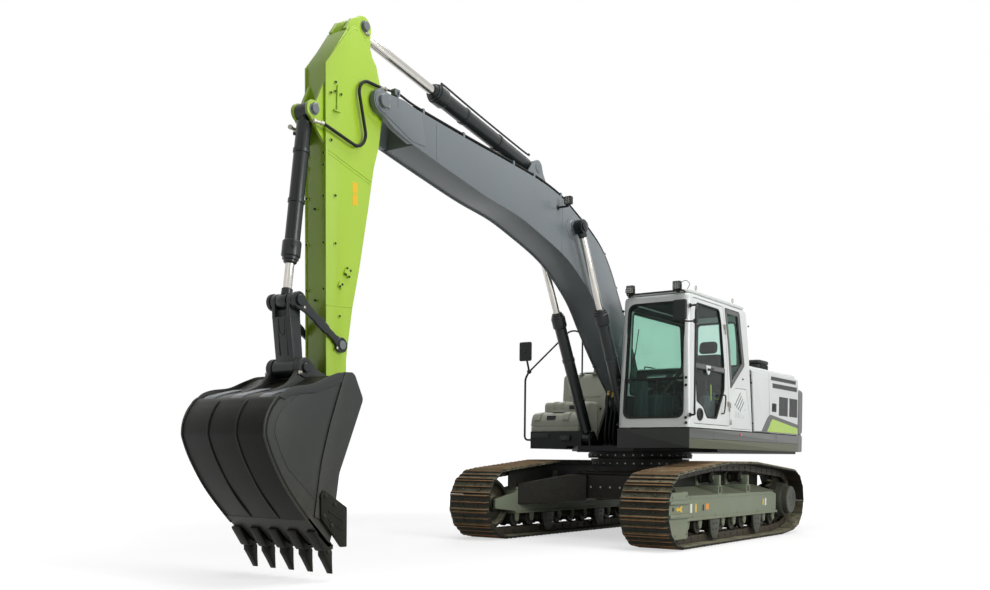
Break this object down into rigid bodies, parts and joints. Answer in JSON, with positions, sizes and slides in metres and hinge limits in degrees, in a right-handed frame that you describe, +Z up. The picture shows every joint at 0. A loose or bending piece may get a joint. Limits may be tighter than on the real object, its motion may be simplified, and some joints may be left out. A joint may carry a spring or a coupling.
{
  "type": "crawler excavator",
  "caption": "Crawler excavator with grouser tracks, slewing cab and engine house, one-piece boom, arm, and a toothed digging bucket on linked cylinders.",
  "frame": {"origin": "on the ground, on the swing axis of the upper structure", "axes": "+X forward towards the bucket, +Y to the operator's left, +Z up"},
  "size_m": [9.939, 3.03, 4.8695],
  "materials": {
    "undercarriage_paint": "satin dark grey paint, dusty",
    "track_steel": "worn rolled steel with rust on the grousers",
    "dark_frame_paint": "satin near-black paint",
    "body_white": "gloss warm white paint",
    "tank_grey": "satin light grey-beige paint",
    "grille_mesh": "grey perforated steel",
    "cap_plastic": "black plastic",
    "cab_glass": "green tinted glass",
    "seat_fabric": "dark woven seat cloth",
    "console_plastic": "dark grained plastic",
    "boom_grey": "satin blue-grey paint",
    "arm_green": "gloss yellow-green paint",
    "cylinder_paint": "satin dark grey paint",
    "rod_chrome": "hard chrome rods, painted eyes",
    "bucket_paint": "satin dark grey paint, cast teeth"
  },
  "bodies": {
    "undercarriage": {"carbody": "undercarriage_paint", "track_frame_left": "undercarriage_paint", "track_frame_right": "undercarriage_paint", "track_left": "track_steel", "track_right": "track_steel", "track_chains": "track_steel", "idlers": "track_steel", "sprockets": "track_steel", "final_drives": "undercarriage_paint", "track_rollers": "track_steel", "carrier_rollers": "track_steel", "track_guards": "undercarriage_paint", "swing_ring_lower": "undercarriage_paint"},
    "upper": {"swing_ring_upper": "undercarriage_paint", "main_frame": "dark_frame_paint", "deck_right": "dark_frame_paint", "skirts": "dark_frame_paint", "counterweight": "dark_frame_paint", "engine_block": "dark_frame_paint", "side_panel_left_front": "body_white", "hood_frame": "dark_frame_paint", "hydraulic_tank": "tank_grey", "breather_cap": "cap_plastic", "fuel_tank": "tank_grey", "toolbox": "tank_grey", "cab_shell": "body_white", "cab_roof": "body_white", "cab_glass": "cab_glass", "seat": "seat_fabric", "consoles_and_levers": "console_plastic", "roof_lamps": "cap_plastic", "mirror_and_rail_left": "cap_plastic", "mirror_and_rail_right": "cap_plastic"},
    "engine_hood": {"engine_hood": "body_white", "precleaner": "dark_frame_paint"},
    "side_door_left": {"side_door_left": "body_white", "grilles": "grille_mesh"},
    "side_door_right": {"side_door_right": "body_white"},
    "cab_door": {"cab_door": "body_white", "door_glass": "cab_glass"},
    "access_door": {"access_door": "body_white"},
    "toolbox_lid": {"toolbox_lid": "tank_grey"},
    "boom": {"boom": "boom_grey", "boom_lamp": "cap_plastic"},
    "boom_barrels": {"boom_cylinder_barrels": "cylinder_paint"},
    "boom_rods": {"boom_cylinder_rods": "rod_chrome"},
    "arm": {"arm": "arm_green"},
    "arm_barrel": {"arm_cylinder_barrel": "cylinder_paint"},
    "arm_rod": {"arm_cylinder_rod": "rod_chrome"},
    "bucket": {"bucket": "bucket_paint", "bucket_teeth": "bucket_paint"},
    "bucket_barrel": {"bucket_cylinder_barrel": "cylinder_paint"},
    "bucket_rod": {"bucket_cylinder_rod": "rod_chrome"},
    "side_links": {"side_links": "bucket_paint"},
    "h_link": {"h_link": "bucket_paint"}
  },
  "joints": [
    {"name": "swing", "type": "hinge", "parent": "undercarriage", "child": "upper", "pos_m": [0, 0, 1.027], "axis": [0, 0, 1], "continuous": true},
    {"name": "boom_lift", "type": "hinge", "parent": "upper", "child": "boom", "pos_m": [0.27, 0, 1.79], "axis": [0, -1, 0], "range_deg": [-60, 37]},
    {"name": "boom_barrels_tilt", "type": "hinge", "parent": "upper", "child": "boom_barrels", "pos_m": [0.88, 0, 1.29], "axis": [0, -1, 0], "range_deg": [-61.1, 38.1]},
    {"name": "boom_rods_slide", "type": "slide", "parent": "boom_barrels", "child": "boom_rods", "axis": [0.4679, 0, 0.8838], "range_m": [-0.764, 0.475]},
    {"name": "arm_swing", "type": "hinge", "parent": "boom", "child": "arm", "pos_m": [5.435, 0, 4.155], "axis": [0, 1, 0], "range_deg": [-70, 48]},
    {"name": "arm_barrel_tilt", "type": "hinge", "parent": "boom", "child": "arm_barrel", "pos_m": [2.76, 0, 4.225], "axis": [0, 1, 0], "range_deg": [-5, 3.7]},
    {"name": "arm_rod_slide", "type": "slide", "parent": "arm_barrel", "child": "arm_rod", "axis": [0.9812, 0, 0.1931], "range_m": [-0.69, 0.476]},
    {"name": "bucket_curl", "type": "hinge", "parent": "arm", "child": "bucket", "pos_m": [5.905, 0, 1.53], "axis": [0, 1, 0], "range_deg": [-30, 130]},
    {"name": "bucket_barrel_tilt", "type": "hinge", "parent": "arm", "child": "bucket_barrel", "pos_m": [6.18, 0, 3.89], "axis": [0, 1, 0], "range_deg": [-2.2, 6.2]},
    {"name": "bucket_rod_slide", "type": "slide", "parent": "bucket_barrel", "child": "bucket_rod", "axis": [0.1265, 0, -0.992], "range_m": [-0.204, 0.85]},
    {"name": "side_links_swing", "type": "hinge", "parent": "arm", "child": "side_links", "pos_m": [5.89, 0, 1.957], "axis": [0, 1, 0], "range_deg": [-23.5, 98.5]},
    {"name": "h_link_swing", "type": "hinge", "parent": "bucket", "child": "h_link", "pos_m": [6.345, 0, 1.727], "axis": [0, 1, 0], "range_deg": [-89.4, 21.4]},
    {"name": "cab_door_swing", "type": "hinge", "parent": "upper", "child": "cab_door", "pos_m": [0.209, 1.34279, 1.68], "axis": [-0.0944, 0.0317, -0.995], "range_deg": [-165, 0]},
    {"name": "access_door_swing", "type": "hinge", "parent": "upper", "child": "access_door", "pos_m": [0.153, 1.34933, 1.412], "axis": [-0.0407, 0.0318, -0.9987], "range_deg": [0, 110]},
    {"name": "side_door_left_swing", "type": "hinge", "parent": "upper", "child": "side_door_left", "pos_m": [-2.363, 1.331, 1.392], "axis": [0, 0, 1], "range_deg": [0, 100]},
    {"name": "side_door_right_swing", "type": "hinge", "parent": "upper", "child": "side_door_right", "pos_m": [-2.363, -1.331, 1.392], "axis": [0, 0, -1], "range_deg": [0, 100]},
    {"name": "engine_hood_swing", "type": "hinge", "parent": "upper", "child": "engine_hood", "pos_m": [-2.32, 0, 2.2], "axis": [0, -1, 0], "range_deg": [0, 55]},
    {"name": "toolbox_lid_swing", "type": "hinge", "parent": "upper", "child": "toolbox_lid", "pos_m": [0.392, -0.958, 1.64], "axis": [0, -1, 0], "range_deg": [0, 80]}
  ],
  "couplings": [
    {"joint": "boom_barrels_tilt", "follows": "boom_lift", "ratio": 1.0023},
    {"joint": "boom_rods_slide", "follows": "boom_lift", "m_per_rad": 0.7198},
    {"joint": "arm_barrel_tilt", "follows": "arm_swing", "ratio": 0.0568},
    {"joint": "arm_rod_slide", "follows": "arm_swing", "m_per_rad": 0.5566},
    {"joint": "bucket_barrel_tilt", "follows": "bucket_curl", "ratio": 0.04},
    {"joint": "bucket_rod_slide", "follows": "bucket_curl", "m_per_rad": 0.37},
    {"joint": "side_links_swing", "follows": "bucket_curl", "ratio": 0.75},
    {"joint": "h_link_swing", "follows": "bucket_curl", "ratio": -0.68}
  ]
}
